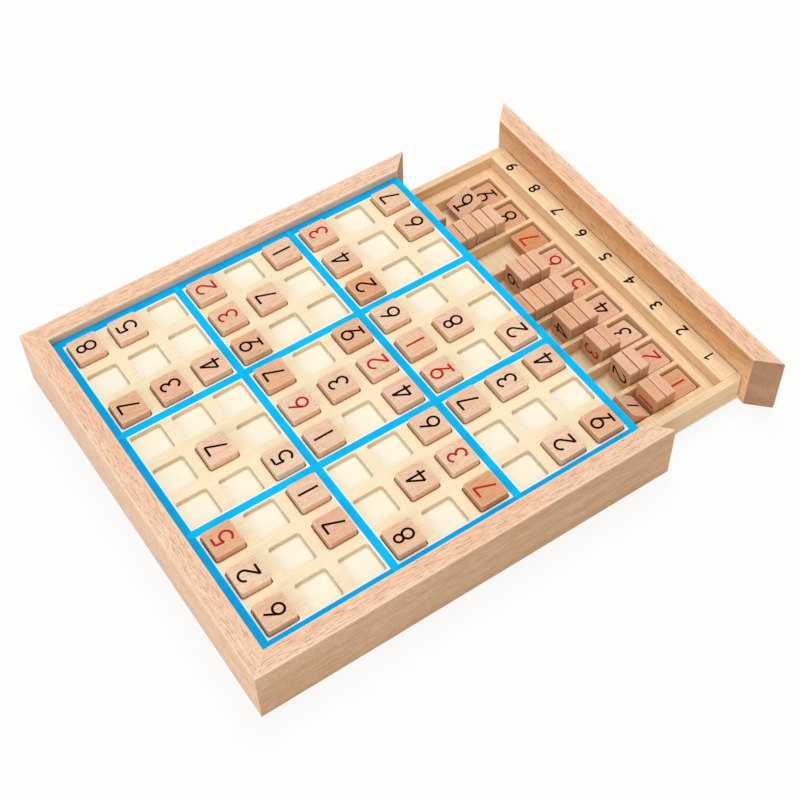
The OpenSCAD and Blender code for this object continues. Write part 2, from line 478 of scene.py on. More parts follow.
def wood(
    name, pale, deep, line, fleck, lines, spots, turned=None, toned=False, reach=LONG_STREAK, shade_levels=None,
):
    """A wood finish, with the strengths of its lines and spots, and how far a line reaches."""
    material, tree, shader = new_material(name)
    pale, deep, line, fleck = [srgb(colour) for colour in (pale, deep, line, fleck)]
    place = plank_place(tree, turned)
    streak = noise(tree, place, reach, STREAK_W, FULL_DETAIL, STREAK_SHIFT)
    fibre = noise(tree, place, *FIBRE, shift=FIBRE_SHIFT)
    marks = flecks(tree, place, *FLECK, FLECK_SHARE)
    if shade_levels is None:
        depth = span(tree, noise(tree, place, *BAND, FULL_DETAIL), *BAND_FADE)
    else:
        # painted shade: the colour deepens towards the top
        depth = heart_depth(tree, shade_levels)
    colour = mix(tree, depth, pale, deep)
    if toned:
        colour = tinted(tree, attribute(tree, "tone"), colour, BROWN_TINT)
        colour = tinted(tree, attribute(tree, "blush"), colour, ROSE_TINT)
    colour = tinted(tree, span(tree, streak, *STREAK_FADE, 0.0, lines), colour, line)
    colour = tinted(tree, span(tree, fibre, *FIBRE_FADE, 0.0, FIBRE_STRENGTH), colour, line)
    colour = mix(tree, combine(tree, "MULTIPLY", marks, spots), colour, fleck)
    # paler rounded edges: partly rubbing, partly a painted highlight
    wear_highlight = span(tree, streak, *WEAR_HIGHLIGHT_FADE, *WEAR_HIGHLIGHT_STRENGTH)
    worn_and_lit = combine(tree, "MULTIPLY", attribute(tree, "edge"), wear_highlight)
    colour = mix(tree, worn_and_lit, colour, [min(1.0, WORN_HIGHLIGHT_GAIN * part) for part in pale])
    rough = span(tree, fibre, *ROUGH_FADE, *WOOD_ROUGH)
    height = mix(tree, marks, mix(tree, fibre, LOW_FIBRE, HIGH_FIBRE), FLECK_PIT)
    dress(tree, shader, colour, rough, WOOD_GLOSS, Strength=0.3, Distance=GRAIN_RELIEF, Height=height)
    return material


print("streaks are", STREAK_W / MM, "mm wide")

# %% [markdown]
# ## Woods of the box and the tiles
# A plank looks different on each cut: its face is light, its side grain browner and its end grain darker. So
# tiles have a wood for each cut, and rails one for their mitres, all from the one recipe, with colours that
# follow the photograph. The end-grain woods are darkened further as painted shade, and the outer sides of the
# near and far rails and the inner face of the drawer front get darker woods that are painted shade.
# Rails, drawer front and tile faces have short dashes, the others longer streaks.

# %% Woods of the box and the tiles
DASH = 6 * MM
# levels between which painted shade deepens the inner face of the drawer front
SHADE_RISE = (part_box("number_strip")[1].z, RAIL_H)
LINE_TINT = (222, 194, 172)

BEECH = wood(
    "rail_beech", pale=(255, 222, 193), deep=(252, 209, 176), line=(200, 163, 140), fleck=(188, 128, 88),
    lines=0.64, spots=0.5, reach=DASH,
)
# painted shade: the drawer front's inner face is browner and darker towards the top
BEECH_PAINTED_SHADE = wood(
    "beech_painted_shade", pale=(253, 213, 166), deep=(228, 171, 115), line=(206, 168, 138), fleck=(160, 98, 58),
    lines=0.6, spots=0.3, reach=DASH, shade_levels=SHADE_RISE,
)
# painted shade: a darker wood for the outer sides of the near and far rails
BEECH_SHADED_SIDE = wood(
    "rail_side_painted_shade", pale=(225, 189, 153), deep=(216, 176, 136), line=(206, 170, 140), fleck=(190, 132, 86),
    lines=0.4, spots=0.5, reach=DASH,
)
# end grain, darkened further as painted shade
BEECH_END_AND_SHADE = wood(
    "beech_end_and_shade", pale=(197, 158, 126), deep=(184, 142, 109), line=(206, 168, 140), fleck=(176, 122, 82),
    lines=0.4, spots=0.2,
)
DRAWER_WOOD = wood(
    "drawer_pine", pale=(254, 228, 190), deep=(250, 216, 172), line=LINE_TINT, fleck=(208, 150, 96),
    lines=0.5, spots=0.2,
)
STRIP_WOOD = wood(
    "strip_pine", pale=(255, 231, 195), deep=(253, 222, 181), line=LINE_TINT, fleck=(214, 160, 110),
    lines=0.5, spots=0.2,
)
TILE_WOOD = wood(
    "tile_beech", pale=(251, 222, 194), deep=(246, 212, 180), line=LINE_TINT, fleck=(182, 122, 82),
    lines=0.52, spots=0.4, toned=True, reach=DASH,
)
TILE_SIDE = wood(
    "tile_side", pale=(255, 218, 186), deep=(251, 208, 170), line=LINE_TINT, fleck=(170, 108, 68),
    lines=0.35, spots=0.25, toned=True,
)
# end grain of the tiles, darkened further as painted shade
TILE_END_AND_SHADE = wood(
    "tile_end_and_shade", pale=(232, 202, 171), deep=(226, 192, 156), line=LINE_TINT, fleck=(164, 104, 64),
    lines=0.4, spots=0.2, toned=True,
)
print("woods:", BEECH.name, DRAWER_WOOD.name, STRIP_WOOD.name, TILE_WOOD.name, "and their cuts")

# %% [markdown]
# ## Plywood sheets
# The board is pale lacquered plywood, so its grain is only a breath of colour. The floors of the recesses
# are lighter than its face. Where windows are cut through a sheet, its walls are darker, partly for the edges
# of its plies and partly as painted shade in the recesses.

# %% Plywood
PALE_TINT = (246, 236, 222)

CREAM = wood(
    "cream_ply", pale=(255, 240, 209), deep=(252, 234, 200), line=PALE_TINT, fleck=(240, 212, 170),
    lines=0.5, spots=0.15, turned="X",
)
# recess walls: ply edges, darkened further as painted shade
CUT_EDGE_AND_SHADE = wood(
    "cut_ply_and_shade", pale=(244, 223, 190), deep=(234, 211, 174), line=PALE_TINT, fleck=(210, 174, 130),
    lines=0.5, spots=0.3, turned="X",
)
# recess walls across X: end grain, darkened further as painted shade
CUT_END_AND_SHADE = wood(
    "cut_end_and_shade", pale=(225, 216, 195), deep=(216, 205, 180), line=PALE_TINT, fleck=(196, 164, 124),
    lines=0.4, spots=0.2, turned="X",
)
IVORY = wood(
    "ivory_ply", pale=(255, 250, 233), deep=(255, 246, 225), line=(252, 246, 237), fleck=(246, 228, 198),
    lines=0.3, spots=0.12, turned="X",
)
PANEL = wood(
    "bottom_ply", pale=(255, 242, 212), deep=(251, 230, 192), line=LINE_TINT, fleck=(214, 168, 118),
    lines=0.5, spots=0.2, turned="Y",
)
print("plywood:", CREAM.name, IVORY.name, PANEL.name)

# %% [markdown]
# ## Paint and ink
# The blue block lines are screen-printed paint with a thin white edge, and the digits are printed ink. Paint
# and ink are never quite even: a little noise in the colour, the roughness and the bump keeps them from
# looking like plastic.

# %% Paint and ink
TOOTH = 0.5 * MM
TOOTH_SHIFT = 5.3
TOOTH_RELIEF = 0.03 * MM
CLOUD_FADE = (0.35, 0.7)
SHEEN_FADE = (0.3, 0.7)
SHEEN_SPREAD = 0.07
PAINT_PATCH = 9 * MM
EDGE_PATCH = 6 * MM
INK_PATCH = 1.5 * MM


def printed(name, main, other, rough, patch, gloss):
    """A printed coat with soft patches and a fine tooth."""
    material, tree, shader = new_material(name)
    place = object_place(tree)
    cloud = noise(tree, place, patch, patch, FULL_DETAIL)
    tooth = noise(tree, place, TOOTH, TOOTH, shift=TOOTH_SHIFT)
    colour = mix(tree, span(tree, cloud, *CLOUD_FADE), srgb(main), srgb(other))
    sheen = span(tree, cloud, *SHEEN_FADE, rough - SHEEN_SPREAD, rough + SHEEN_SPREAD)
    dress(tree, shader, colour, sheen, gloss, Strength=0.15, Distance=TOOTH_RELIEF, Height=tooth)
    return material


BLUE = printed("block_line_blue", (0, 196, 255), (0, 186, 250), 0.55, PAINT_PATCH, gloss=0.05)
# painted shade: the blue of the outer lines, shaded by the rails
BLUE_RAIL_SHADE = printed("border_line_painted_shade", (0, 177, 246), (0, 168, 240), 0.55, PAINT_PATCH, gloss=0.05)
WHITE = printed("line_edge_white", (255, 255, 254), (248, 250, 252), 0.6, EDGE_PATCH, gloss=0.1)
BLACK_INK = printed("black_ink", (24, 5, 4), (34, 11, 8), 0.6, INK_PATCH, gloss=0.02)
RED_INK = printed("red_ink", (202, 46, 38), (186, 36, 31), 0.6, INK_PATCH, gloss=0.02)
print("coats:", BLUE.name, BLUE_RAIL_SHADE.name, WHITE.name, BLACK_INK.name, RED_INK.name)

# %% [markdown]
# ## Settling a piece
# A finished piece gets its material, smooth shading and the body that it moves with, and the solids that it
# stands for are hidden. Where the real piece shows another cut of the wood, or where faces carry painted
# shade, those faces then get a further material.

# %% Settle
SQUARELY = 0.8  # least cosine of a face that looks along an axis
UPRIGHT = 0.5  # largest cosine to Z of a face that stands up
MITRE_SLANT = 0.6  # least cosine to X and to Y of a mitre


def settle(obj, material, body, slot, *nodes):
    """Finishes a piece: material, shading, body and the solids it replaces; the slot is not used."""
    if material is not None:
        obj.data.materials.clear()
        obj.data.materials.append(material)
    smooth(obj)
    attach(obj, body)
    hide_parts(*nodes)
    print(obj.name, "faces:", len(obj.data.polygons), "on", body)


def paint_faces(obj, material, rule):
    """Gives a further material to the faces that fit a rule."""
    obj.data.materials.append(material)
    slot_number = len(obj.data.materials) - 1
    for face in obj.data.polygons:
        if rule(face):
            face.material_index = slot_number


def looks_along(axis, sign):
    """Rule for faces that look squarely along an axis, to the side that the sign says."""
    return lambda face: face.normal[axis] * sign > SQUARELY


def looks_endways(face):
    """Rule for faces across the X axis, on either end."""
    return abs(face.normal.x) > SQUARELY


def is_upright(face):
    """Rule for faces that stand up like a wall."""
    return abs(face.normal.z) < UPRIGHT


def on_mitre(face):
    """Rule for faces cut at 45 degrees across the grain."""
    return min(abs(face.normal.x), abs(face.normal.y)) > MITRE_SLANT


print("pieces can be settled")

# %% [markdown]
# ## The mitred bars
# Rails and drawer front are one and the same bar with 45 degree ends. A block is drawn along the +X side,
# the four inner corners slide in by the bar's width to make the mitres, and only the long edges are rounded,
# so that two bars still meet cleanly at a corner. Narrow inset borders keep the paler rubbed and highlighted
# edges narrow.

# %% One mitred bar
EDGE_R = 0.65 * MM
WEAR_HIGHLIGHT_W = 0.7 * MM


def mitred_bar(name):
    """The bar on the +X side, with mitred ends and eased long edges."""
    bar = block(name, (INNER, -OUTER, 0), (OUTER, OUTER, RAIL_H))
    with edit_mode(bar):
        for end in (-1, 1):
            pick("verts", lambda vert: vert.co.x < INNER + NEAR and vert.co.y * end > 0)
            bpy.ops.transform.translate(value=(0, -end * RAIL_W, 0))
        round_edges(runs_along(1), EDGE_R, segments=3)
    border(bar, WEAR_HIGHLIGHT_W, RAIL_H * RAIL_W / 2)
    lay_grain(bar, "Y")
    return bar


print("bar helper is ready")

# %% [markdown]
# ## Rails around the board
# The back, near and far rails are grooved for the board and rebated for the bottom panel. On the bench that
# is a pass over a saw; here two blocks the size of the panels are cut out of each bar. The mitres show end
# grain, darkened further as painted shade, and the outer faces of the near and far rails get a darker wood as
# painted shade.

# %% Rails
BELOW = 1 * MM


def groove_cutters():
    """Blocks the size of the board and of the bottom panel."""
    board = block("board_cutter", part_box("board_base")[0], grid_high)
    low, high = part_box("bottom_panel")
    return board, block("panel_cutter", low - Vector((0, 0, BELOW)), high)


for side, quarter_turns in (("back", 2), ("near", -1), ("far", 1)):
    rail = mitred_bar(f"beech_rail_{side}")
    rail.rotation_euler.z = quarter_turns * math.pi / 2
    freeze(rail)
    cut(rail, *groove_cutters())
    settle(rail, BEECH, "box", "beech", f"rail_{side}")
    # mitres: end grain, darkened further as painted shade
    paint_faces(rail, BEECH_END_AND_SHADE, on_mitre)
    if side != "back":
        # the outer side gets the darker wood of painted shade
        paint_faces(rail, BEECH_SHADED_SIDE, looks_along(1, quarter_turns))

# %% [markdown]
# ## Drawer front
# The drawer front is the fourth bar, pulled out with the drawer. Its inner face gets a second, browner wood
# as painted shade, darkest along the top.

# %% Drawer front
front = mitred_bar("beech_drawer_front")
front.location.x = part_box("drawer_front")[1].x - OUTER
freeze(front)
settle(front, BEECH, "drawer", "beech", "drawer_front")
# painted shade on the inner face, darkest along the top
paint_faces(front, BEECH_PAINTED_SHADE, looks_along(0, -1))
# mitres: end grain, darkened further as painted shade
paint_faces(front, BEECH_END_AND_SHADE, on_mitre)

# %% [markdown]
# ## Grid sheet
# The playing board is a base sheet with a second sheet glued on, whose square windows make the recesses. One
# rounded cutter is modelled, arrayed nine by nine and taken out of the sheet in one cut. The lips are eased,
# because punched plywood is never razor sharp. The cut walls get darker woods, partly for the plies and the
# end grain across X, partly as painted shade in the recesses.

# %% Grid sheet
RECESS_W = 16.0 * MM
RECESS_R = 1.4 * MM
LIP_R = 0.3 * MM

cutter_half = RECESS_W / 2
cutter_start = (1 - MIDDLE) * PITCH
cutter = block(
    "window_cutter",
    (cutter_start - cutter_half, cutter_start - cutter_half, RECESS_Z - BELOW),
    (cutter_start + cutter_half, cutter_start + cutter_half, BOARD_Z + BELOW),
)
with edit_mode(cutter):
    round_edges(runs_along(2), RECESS_R, segments=5)
repeat(cutter, (PITCH, 0, 0))
repeat(cutter, (0, PITCH, 0))
sheet = block("grid_sheet", grid_low, grid_high)
cut(sheet, cutter)
ease(sheet, LIP_R)
lay_grain(sheet, "X", worn_and_lit=0.0)
settle(sheet, CREAM, "box", "board_cream", "board_grid")
# recess walls get darker woods: ply edges and painted shade
paint_faces(sheet, CUT_EDGE_AND_SHADE, is_upright)
paint_faces(sheet, CUT_END_AND_SHADE, looks_endways)

# %% [markdown]
# ## Painted block lines
# Blue lines divide the board into nine blocks and frame it at the rails. A three by three grid has exactly
# these lines as its edges: each face is inset by half a line, the inner faces are deleted, and what is left
# is the lattice. Its outer corners are pulled out to the rails and it gets the thickness of a coat of paint.
# A slightly wider white lattice below it leaves the thin white edges. Lines along the rails are a deeper
# blue, as painted shade from the rails.

# %% Painted lines
BLOCKS = 3
LINE_W = 4.0 * MM
LINE_EDGE = 0.75 * MM
COAT_T = 0.05 * MM


def lattice(name, half_line, coat, material):
    """The block lines as one flat coat."""
    bpy.ops.object.select_all(action="DESELECT")
    bpy.ops.mesh.primitive_grid_add(
        x_subdivisions=BLOCKS, y_subdivisions=BLOCKS, size=CELLS * PITCH, location=(0, 0, BOARD_Z),
    )
    obj = bpy.context.object
    obj.name = name
    freeze(obj)
    with edit_mode(obj):
        bpy.ops.mesh.select_all(action="SELECT")
        bpy.ops.mesh.inset(thickness=half_line, use_individual=True)
        bpy.ops.mesh.delete(type="FACE")
        for axis, side, reach in ((0, -1, INNER), (0, 1, grid_high.x), (1, -1, INNER), (1, 1, INNER)):
            pick("verts", lambda vert: vert.co[axis] * side > BOARD_HALF - NEAR)
            step = [0, 0, 0]
            step[axis] = side * (reach - BOARD_HALF)
            bpy.ops.transform.translate(value=step)
    apply_modifier(obj, "SOLIDIFY", thickness=coat, offset=1)
    obj.data.materials.append(material)
    return obj


def along_rails(face):
    """Rule for the blue faces of the outer lines, next to the three rails."""
    outer = BOARD_HALF - LINE_W / 2
    x, y = face.center.x, face.center.y
    return face.material_index == 0 and (x < -outer or abs(y) > outer)


blue_lines = lattice("painted_lines", LINE_W / 2, 2 * COAT_T, BLUE)
white_lines = lattice("white_lines", LINE_W / 2 + LINE_EDGE, COAT_T, WHITE)
lines = joined("painted_lines", [blue_lines, white_lines])
settle(lines, None, "box", "board_cream")
# painted shade from the rails on the outer lines
paint_faces(lines, BLUE_RAIL_SHADE, along_rails)

# %% [markdown]
# ## Drawer walls
# The drawer's sides end in a rounded corner just behind the front, and their top edges are sanded round.
# Each is a block with one upright edge bevelled wide, then all sharp edges eased.

# %% Drawer walls
CORNER_R = 3 * MM
SANDED_R = 0.5 * MM
BROAD_FACE = 100 * MM * MM


def sand(obj, along):
    """Eases a board's edges, gives its broad faces a border for the paler rubbed and highlighted band, and
    lays its grain.
    """
    ease(obj, SANDED_R)
    border(obj, WEAR_HIGHLIGHT_W, BROAD_FACE)
    lay_grain(obj, along)


def front_corner(low, high, sign):
    """Rule for a wall's upright edge at the front, on its outer side."""
    upright = runs_along(2)
    outside = max(sign * low.y, sign * high.y)
    return lambda edge: upright(edge) and all(
        vert.co.x > high.x - NEAR and vert.co.y * sign > outside - NEAR for vert in edge.verts
    )


for side, sign in (("near", -1), ("far", 1)):
    low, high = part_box(f"drawer_side_{side}")
    wall = block(f"drawer_wall_{side}", low, high)
    with edit_mode(wall):
        round_edges(front_corner(low, high, sign), CORNER_R, segments=6)
    sand(wall, "X")
    settle(wall, DRAWER_WOOD, "drawer", "drawer_wood", f"drawer_side_{side}")

back = block("drawer_wall_back", *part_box("drawer_back"))
sand(back, "Y")
settle(back, DRAWER_WOOD, "drawer", "drawer_wood", "drawer_back")

# %% [markdown]
# ## Drawer floor
# A thin sheet closes the drawer from below and slides on the bottom panel. It is a block with sanded edges,
# lifted by a hair from the panel, so that two faces never lie in one plane.

# %% Drawer floor
SLIDE_GAP = 0.1 * MM

floor_low, floor_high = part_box("drawer_floor")
drawer_floor = block("sliding_floor", floor_low + Vector((0, 0, SLIDE_GAP)), floor_high)
sand(drawer_floor, "Y")
settle(drawer_floor, PANEL, "drawer", "panel_ply", "drawer_floor")

# %% [markdown]
# ## Where the stored tiles are
# The tiles in the drawer are two groups of solids, those that lie and those that stand. The separate tiles
# of a group are found by walking along the edges from one corner to the next, and the spread of the lying
# ones gives the pitch of the compartments.

# %% Stored solids
def stored_solids(node):
    """Centre and size of each separate solid in a group of stored tiles."""
    shape = bmesh.new()
    shape.from_mesh(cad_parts[node].data)
    bmesh.ops.remove_doubles(shape, verts=shape.verts, dist=NEAR / 10)
    waiting = set(shape.verts)
    found = []
    while waiting:
        island = [waiting.pop()]
        for vert in island:
            fresh = {edge.other_vert(vert) for edge in vert.link_edges} & waiting
            waiting -= fresh
            island += fresh
        low = Vector(min(v.co[axis] for v in island) for axis in range(3))
        high = Vector(max(v.co[axis] for v in island) for axis in range(3))
        found.append(((low + high) / 2, high - low))
    shape.free()
    return sorted(found, key=lambda solid: tuple(solid[0]))


lying = stored_solids("stored_tiles_lying")
standing = stored_solids("stored_tiles_standing")
across = [centre.y for centre, size in lying]
POCKET_PITCH = (max(across) - min(across)) / (CELLS - 1)
print(len(lying), "tiles lie and", len(standing), "stand; pitch, mm:", round(POCKET_PITCH / MM, 2))

# %% [markdown]
# ## Compartment tray
# Nine long slots in one thin board hold the tiles. As with the grid sheet, one cutter is repeated and taken
# out of the blank.

# %% Compartment tray
POCKET_W = 17.2 * MM
POCKET_END = 6 * MM
TRAY_EASE = 0.3 * MM

tray_low, tray_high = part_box("compartment_tray")
first_pocket = (1 - MIDDLE) * POCKET_PITCH
pocket_cutter = block(
    "pocket_cutter",
    (tray_low.x + POCKET_END, first_pocket - POCKET_W / 2, tray_low.z - BELOW),
    (tray_high.x - POCKET_END, first_pocket + POCKET_W / 2, tray_high.z + BELOW),
)
repeat(pocket_cutter, (0, POCKET_PITCH, 0))
tray = block("slotted_tray", tray_low, tray_high)
cut(tray, pocket_cutter)
ease(tray, TRAY_EASE)
lay_grain(tray, "Y", worn_and_lit=0.0)
settle(tray, DRAWER_WOOD, "drawer", "drawer_wood", "compartment_tray")

# %% [markdown]
# ## A film of ink
# A printed digit is a film of ink a few hundredths of a millimetre thick. Where a digit is given as strokes,
# each stroke is a line with a round bevel, and pressing the result flat leaves a film with rounded sides.

# %% Ink film
INK_T = 0.03 * MM
SAME_POINT = 0.001


def ink_film(name, strokes, width):
    """Strokes of one width, given in millimetres, as a flat film of ink at z = 0."""
    curve = bpy.data.curves.new(name, "CURVE")
    curve.dimensions = "3D"
    curve.bevel_depth = width / 2
    curve.bevel_resolution = 1
    curve.use_fill_caps = True
    for points in strokes:
        closed = math.dist(points[0], points[-1]) < SAME_POINT
        spline = curve.splines.new("POLY")
        used = points[:-1] if closed else points
        spline.points.add(len(used) - 1)
        for point, (x, y) in zip(spline.points, used):
            point.co = (x * MM, y * MM, 0, 1)
        spline.use_cyclic_u = closed
    obj = bpy.data.objects.new(name, curve)
    bpy.context.collection.objects.link(obj)
    alone(obj)
    bpy.ops.object.convert(target="MESH")
    obj.scale.z = 2 * INK_T / width
    freeze(obj)
    return obj


print("ink is", INK_T / MM, "mm thick")

# %% [markdown]
# ## Number strip
# A raised strip behind the drawer front says which compartment holds which number. It is a sanded board that
# stops a hair short of the front, because the real joint shows as a thin dark line.

# %% Number strip
STRIP_GAP = 0.35 * MM

strip_low, strip_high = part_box("number_strip")
strip = block("strip_board", strip_low, strip_high - Vector((STRIP_GAP, 0, 0)))
sand(strip, "Y")
settle(strip, STRIP_WOOD, "drawer", "drawer_wood", "number_strip")

# %% [markdown]
# ## Numbers on the strip
# The numbers are printed in a plain upright face: text objects, thickened by a bevel around their outline,
# made into meshes and pressed flat on the strip. The one has a flag that the built-in face lacks, so it is
# drawn with two strokes.

# %% Strip numbers
STRIP_DIGIT_H = 6.5 * MM
STRIP_PITCH = 20.2 * MM
STRIP_FIRST_Y = -79.5 * MM
CAP_SHARE = 0.69
BOLD = 0.13 * MM
FLAGGED_ONE = [[(0.4, -2.8), (0.4, 2.8)], [(0.4, 2.8), (-1.5, 1.3)]]
FLAGGED_STROKE = 0.9 * MM


def strip_label(number):
    """A number of the strip as a mesh, before it is turned and pressed into place."""
    bpy.ops.object.select_all(action="DESELECT")
    bpy.ops.object.text_add()
    label = bpy.context.object
    label.data.body = str(number)
    label.data.align_x = "CENTER"
    label.data.align_y = "CENTER"
    label.data.size = STRIP_DIGIT_H / CAP_SHARE
    label.data.bevel_depth = BOLD
    label.data.bevel_resolution = 1
    bpy.ops.object.convert(target="MESH")
    label.scale.z = INK_T / BOLD
    return label


strip_middle = (strip_low.x + strip_high.x) / 2
labels = []
for number in range(1, CELLS + 1):
    label = ink_film("strip_1", FLAGGED_ONE, FLAGGED_STROKE) if number == 1 else strip_label(number)
    label.rotation_euler.z = math.pi / 2
    label.location = (strip_middle, STRIP_FIRST_Y + (number - 1) * STRIP_PITCH, strip_high.z)
    freeze(label)
    labels.append(label)
settle(joined("strip_numbers", labels), BLACK_INK, "drawer", "drawer_wood")

# %% [markdown]
# ## Digits for the tiles
# The tiles' digits have thin round strokes of even width, as a routed or stencilled digit has. Each digit is
# a few open or closed lines, in millimetres from the tile's middle, and the ink film gives them their width.
# Arcs are worked out from a centre, a radius and two angles.

# %% Digit strokes
STROKE = 1.2 * MM
ARC_STEP = 15


def arc(x, y, radius, start, end):
    """Points along an arc from one angle to another, in degrees."""
    steps = max(2, round(abs(end - start) / ARC_STEP))
    angles = [math.radians(start + (end - start) * k / steps) for k in range(steps + 1)]
    return [(x + radius * math.cos(a), y + radius * math.sin(a)) for a in angles]


SIX = [arc(0, -2.0, 2.7, 0, 360), [(0.9, 5.0), (-2.34, -0.66)]]
STROKES = {
    1: [[(0, -5.2), (0, 5.2)]],
    2: [arc(0, 1.95, 2.75, 175, -44.6) + [(-2.7, -4.7)], [(-2.9, -4.7), (2.9, -4.7)]],
    3: [arc(0, 2.5, 2.2, 165, -90), arc(0, -2.2, 2.5, 90, -165)],
    4: [[(1.3, 5.2), (1.3, -5.2)], [(-3.3, -2.3), (3.3, -2.3)], [(1.3, 5.2), (-3.2, -2.3)]],
    5: [[(2.5, 4.7), (-1.7, 4.7)], [(-1.7, 4.7), (-2.09, 0.34)], arc(0, -1.75, 2.95, 135, -150)],
    6: SIX,
    7: [[(-2.9, 4.7), (3.0, 4.7)], [(2.9, 4.7), (-0.9, -5.2)]],
    8: [arc(0, 2.65, 2.05, 0, 360), arc(0, -2.05, 2.65, 0, 360)],
    9: [[(-x, 0.7 - y) for x, y in line] for line in SIX] + [[(-3.6, -4.9), (1.9, -4.9)]],
}
print("digits drawn with", sum(len(strokes) for strokes in STROKES.values()), "strokes")

# %% [markdown]
# ## A numbered tile
# A tile is a small square of beech with rounded corners and softly sanded faces. The upright edges of a cube
# are bevelled wide, then the outlines of both faces narrowly, and a thin inset keeps the paler rubbed and
# highlighted band at the edge. Face, sides and ends are cut differently, so they have three woods; the end
# grain is darkened further as painted shade. Each number and ink is modelled once, and every tile on the
# board or in the drawer is a copy of that.

# %% Numbered tile
TILE_W = 15 * MM
TILE_CORNER_R = 1.2 * MM
TILE_EDGE_R = 0.4 * MM
TILE_WEAR_HIGHLIGHT_W = 0.5 * MM
# strength of the paler edge band on tiles: rubbing and painted highlight
TILE_WORN_AND_LIT = 0.5

numbered = {}


def at_level(level):
    """Rule for the edges that lie at one height."""
    return lambda edge: all(abs(vert.co.z - level) < NEAR for vert in edge.verts)


def blank_tile(name):
    """A tile without its number, standing on z = 0."""
    half = TILE_W / 2
    tile = block(name, (-half, -half, 0), (half, half, TILE_T))
    with edit_mode(tile):
        round_edges(runs_along(2), TILE_CORNER_R, segments=4)
        for level in (0, TILE_T):
            round_edges(at_level(level), TILE_EDGE_R, segments=3)
    border(tile, TILE_WEAR_HIGHLIGHT_W, TILE_T * TILE_W / 2)
    return tile


def numbered_tile(number, ink):
    """The model of a tile with a printed number; digits read up along -X."""
    name = f"tile_model_{number}_{ink.name}"
    if name not in numbered:
        tile = blank_tile(name)
        tile.data.materials.append(TILE_WOOD)
        paint_faces(tile, TILE_SIDE, is_upright)
        # ends: end grain, darkened further as painted shade
        paint_faces(tile, TILE_END_AND_SHADE, looks_endways)
        digit = ink_film(f"digit_{number}", STROKES[number], STROKE)
        digit.data.materials.append(ink)
        digit.rotation_euler.z = math.pi / 2
        digit.location.z = TILE_T
        freeze(digit)
        numbered[name] = joined(name, [tile, digit])
    return numbered[name]


def copy_tile(name, number, ink, place, tone, blush):
    """A copy of a numbered tile, with its own grain and tone, moved to its place."""
    model = numbered_tile(number, ink)
    tile = bpy.data.objects.new(name, model.data.copy())
    bpy.context.collection.objects.link(tile)
    lay_grain(tile, "X", tone, blush, TILE_WORN_AND_LIT)
    tile.matrix_world = place
    freeze(tile)
    return tile


print("tile helpers are ready")

# %% [markdown]
# ## Tiles on the board
# The table gives the number in each cell, with 0 for an empty recess, as it lies in the photograph. Some
# numbers are red, and some tiles come from darker or pinker wood. A tile lies loose, so each is turned a
# little in its recess, by the same rule as its solid.

# %% Board tiles
NUMBERS = (
    (6, 2, 5, 0, 0, 0, 7, 0, 8),
    (0, 0, 0, 0, 7, 0, 3, 0, 5),
    (0, 7, 1, 5, 0, 0, 4, 0, 0),
    (8, 0, 0, 1, 6, 7, 9, 3, 2),
    (0, 4, 0, 0, 3, 0, 0, 7, 0),
    (7, 3, 6, 4, 2, 9, 0, 0, 1),
    (0, 0, 7, 9, 1, 6, 2, 4, 3),
    (2, 0, 3, 0, 8, 0, 0, 0, 0),
    (9, 0, 4, 2, 0, 0, 0, 6, 7),
)
RED_CELLS = {(1, 3), (4, 5), (4, 8), (4, 9), (6, 1), (6, 2), (6, 5), (7, 4), (7, 5), (7, 9)}
BROWN_CELLS = {(6, 1), (7, 7)}
TAN_CELLS = {(1, 3), (1, 7), (4, 6), (4, 7), (6, 6), (9, 1)}
ROSE_CELLS = {(2, 7), (3, 2)}
WARM_CELLS = {(1, 1), (4, 1), (4, 8), (7, 5), (9, 8)}
PALE_CELLS = {(1, 2), (2, 9), (3, 4), (4, 5), (6, 2), (6, 5), (7, 6), (8, 1), (8, 3), (9, 4)}
CELL_TONES = (  # tone and blush
    (BROWN_CELLS, (0.8, 0.1)),
    (TAN_CELLS, (0.52, 0.3)),
    (ROSE_CELLS, (0.4, 0.7)),
    (WARM_CELLS, (0.28, 0.1)),
    (PALE_CELLS, (0.0, 0.2)),
)
COMMON_TONE = (0.03, 0.16)
COMMON_BLUSH = (0.2, 0.7)
TURN = math.radians(0.9)
TURN_ROW = math.radians(137)
TURN_COLUMN = math.radians(71)


def cell_tone(cell):
    """Tone and blush of the tile in a cell."""
    for cells, tone in CELL_TONES:
        if cell in cells:
            return tone
    return random.uniform(*COMMON_TONE), random.uniform(*COMMON_BLUSH)


for row, numbers in enumerate(NUMBERS, 1):
    for column, number in enumerate(numbers, 1):
        if number == 0:
            continue
        cell = (row, column)
        node = f"tile_r{row}c{column}"
        turn = TURN * math.sin(TURN_ROW * row + TURN_COLUMN * column)
        spot = Vector(((row - MIDDLE) * PITCH, (column - MIDDLE) * PITCH, RECESS_Z))
        place = Matrix.Translation(spot) @ Matrix.Rotation(turn, 4, "Z")
        ink = RED_INK if cell in RED_CELLS else BLACK_INK
        tile = copy_tile(f"numbered_{node}", number, ink, place, *cell_tone(cell))
        settle(tile, None, node, "tile_wood", node)

# %% [markdown]
# ## Tiles that lie in the drawer
# In each compartment a tile lies at the front with its number up, and one of these is tipped against a
# divider. In two compartments another tile leans on a lying one. The solids give the middle of each tile,
# and from its compartment and its size the code tells which way it lies.

